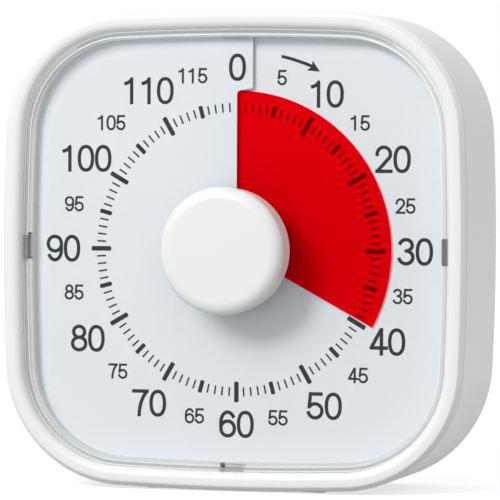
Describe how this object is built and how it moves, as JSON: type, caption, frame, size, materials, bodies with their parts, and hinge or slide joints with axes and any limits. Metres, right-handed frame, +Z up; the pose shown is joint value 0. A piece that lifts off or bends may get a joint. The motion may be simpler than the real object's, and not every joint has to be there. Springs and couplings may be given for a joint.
{
  "type": "visual countdown timer",
  "caption": "Square free-standing case with rounded corners, a deep clear front over a round-the-clock dial, a red helical disc that winds through a slit in it, and a round centre knob.",
  "frame": {"origin": "bottom centre of the bounding box, on the surface that the two foot pads stand on", "axes": "+Z up, the dial and the knob face -Y, +X to the reader's right; the spindle runs along Y at z 0.0954"},
  "size_m": [0.19, 0.0732, 0.1904],
  "materials": {
    "case_plastic": "white moulded plastic, satin",
    "clear_lens": "clear moulded plastic, polished",
    "dial_plastic": "pale grey printed sheet",
    "disc_film": "translucent red film",
    "knob_plastic": "white moulded plastic, satin",
    "pad_rubber": "soft, matte",
    "movement_plastic": "dark moulded plastic",
    "gear_plastic": "natural nylon",
    "steel": "plated",
    "brass": "machined",
    "copper": "enamelled winding wire",
    "bobbin_plastic": "natural nylon",
    "board": "green solder mask",
    "chip_plastic": "moulded epoxy",
    "spring_steel": "nickel plated spring steel",
    "cell_jacket": "plain dark grey jacket",
    "lead_red": "red insulation",
    "lead_black": "black insulation",
    "slider_plastic": "grey moulded plastic"
  },
  "bodies": {
    "case": {"front_bezel": "case_plastic", "lens_cover": "clear_lens", "dial_plate": "dial_plastic", "rear_case": "case_plastic", "foot_pad_left": "pad_rubber", "foot_pad_right": "pad_rubber", "case_screws": "steel", "movement_front_plate": "movement_plastic", "movement_rear_cover": "movement_plastic", "movement_screws": "steel", "spindle_bush": "brass", "bush_nut": "brass", "stator": "steel", "coil_bobbin": "bobbin_plastic", "coil_winding": "copper", "alarm_contacts": "brass", "circuit_board": "board", "controller_chip": "chip_plastic", "quartz_crystal": "steel", "board_screws": "steel", "piezo_sounder": "brass", "switch_body": "steel", "battery_cell": "cell_jacket", "contact_spring": "spring_steel", "contact_plate": "spring_steel", "battery_lead_red": "lead_red", "battery_lead_black": "lead_black"},
    "knob": {"knob": "knob_plastic", "spindle": "steel", "clutch_spring": "brass", "retaining_clip": "spring_steel", "alarm_cam": "gear_plastic"},
    "disc": {"red_disc": "disc_film", "disc_hub": "dial_plastic"},
    "centre_wheel": {"centre_wheel": "gear_plastic"},
    "second_wheel": {"second_wheel": "gear_plastic"},
    "third_wheel": {"third_wheel": "gear_plastic"},
    "rotor": {"rotor_pinion": "gear_plastic", "rotor_magnet": "steel"},
    "battery_door": {"battery_door": "case_plastic"},
    "volume_slider": {"volume_slider": "slider_plastic"}
  },
  "joints": [
    {"name": "knob_turn", "type": "hinge", "parent": "case", "child": "knob", "pos_m": [0, 0, 0.0954], "axis": [0, 1, 0], "range_deg": [-120, 240]},
    {"name": "disc_float", "type": "slide", "parent": "knob", "child": "disc", "axis": [0, -1, 0], "range_m": [-0.00067, 0.00134]},
    {"name": "train_turn", "type": "hinge", "parent": "case", "child": "centre_wheel", "pos_m": [0, 0, 0.0954], "axis": [0, 1, 0], "continuous": true},
    {"name": "second_wheel_spin", "type": "hinge", "parent": "case", "child": "second_wheel", "pos_m": [-0.01691, 0, 0.08924], "axis": [0, 1, 0], "continuous": true},
    {"name": "third_wheel_spin", "type": "hinge", "parent": "case", "child": "third_wheel", "pos_m": [-0.00941, 0, 0.07625], "axis": [0, 1, 0], "continuous": true},
    {"name": "rotor_spin", "type": "hinge", "parent": "case", "child": "rotor", "pos_m": [0.0024, 0, 0.07417], "axis": [0, 1, 0], "continuous": true},
    {"name": "battery_door_hinge", "type": "hinge", "parent": "case", "child": "battery_door", "pos_m": [0, 0.0357, 0.0313], "axis": [-1, 0, 0], "range_deg": [0, 95]},
    {"name": "volume_slide", "type": "slide", "parent": "case", "child": "volume_slider", "axis": [1, 0, 0], "range_m": [-0.003, 0.003]}
  ],
  "couplings": [
    {"joint": "disc_float", "follows": "knob_turn", "m_per_rad": 0.00031831},
    {"joint": "second_wheel_spin", "follows": "train_turn", "ratio": -5},
    {"joint": "third_wheel_spin", "follows": "train_turn", "ratio": 20},
    {"joint": "rotor_spin", "follows": "train_turn", "ratio": -60}
  ]
}
